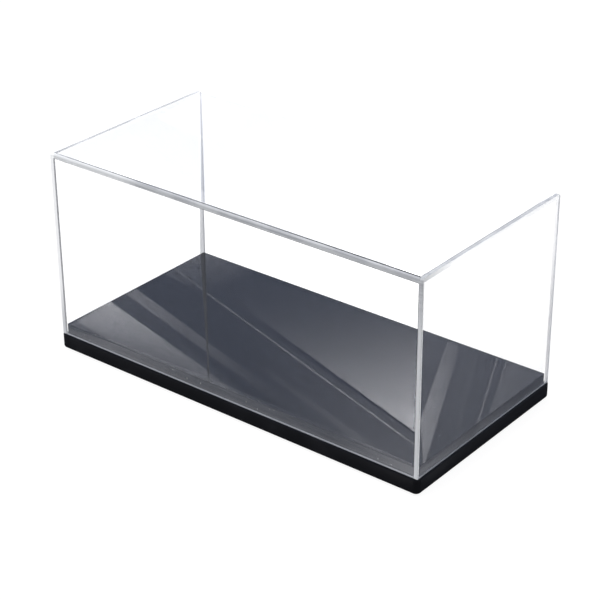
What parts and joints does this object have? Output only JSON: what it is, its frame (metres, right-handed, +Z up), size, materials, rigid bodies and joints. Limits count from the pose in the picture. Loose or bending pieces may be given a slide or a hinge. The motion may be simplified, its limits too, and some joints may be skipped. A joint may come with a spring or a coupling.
{
  "type": "acrylic display case",
  "caption": "Long clear display case: a lift-off five-sided cover of bonded acrylic sheets over a low black base with a raised glossy floor.",
  "frame": {"origin": "on the ground, below the middle of the case", "axes": "+X to the right along the case, +Y to the back, +Z up; the front is the long side at -Y"},
  "size_m": [0.3274, 0.1634, 0.1603],
  "materials": {
    "clear_sheet": "polished clear acrylic",
    "base_black": "satin black",
    "floor_black": "glossy black",
    "foot_rubber": "matt dark rubber"
  },
  "bodies": {
    "base": {"base_board": "base_black", "floor_plate": "floor_black", "foot_front_left": "foot_rubber", "foot_back_left": "foot_rubber", "foot_front_right": "foot_rubber", "foot_back_right": "foot_rubber"},
    "cover": {"left_panel": "clear_sheet", "right_panel": "clear_sheet", "top_panel": "clear_sheet", "front_panel": "clear_sheet", "back_panel": "clear_sheet"}
  },
  "joints": [
    {"name": "cover_lift", "type": "slide", "parent": "base", "child": "cover", "axis": [0, 0, 1], "range_m": [0, 0.16]}
  ]
}
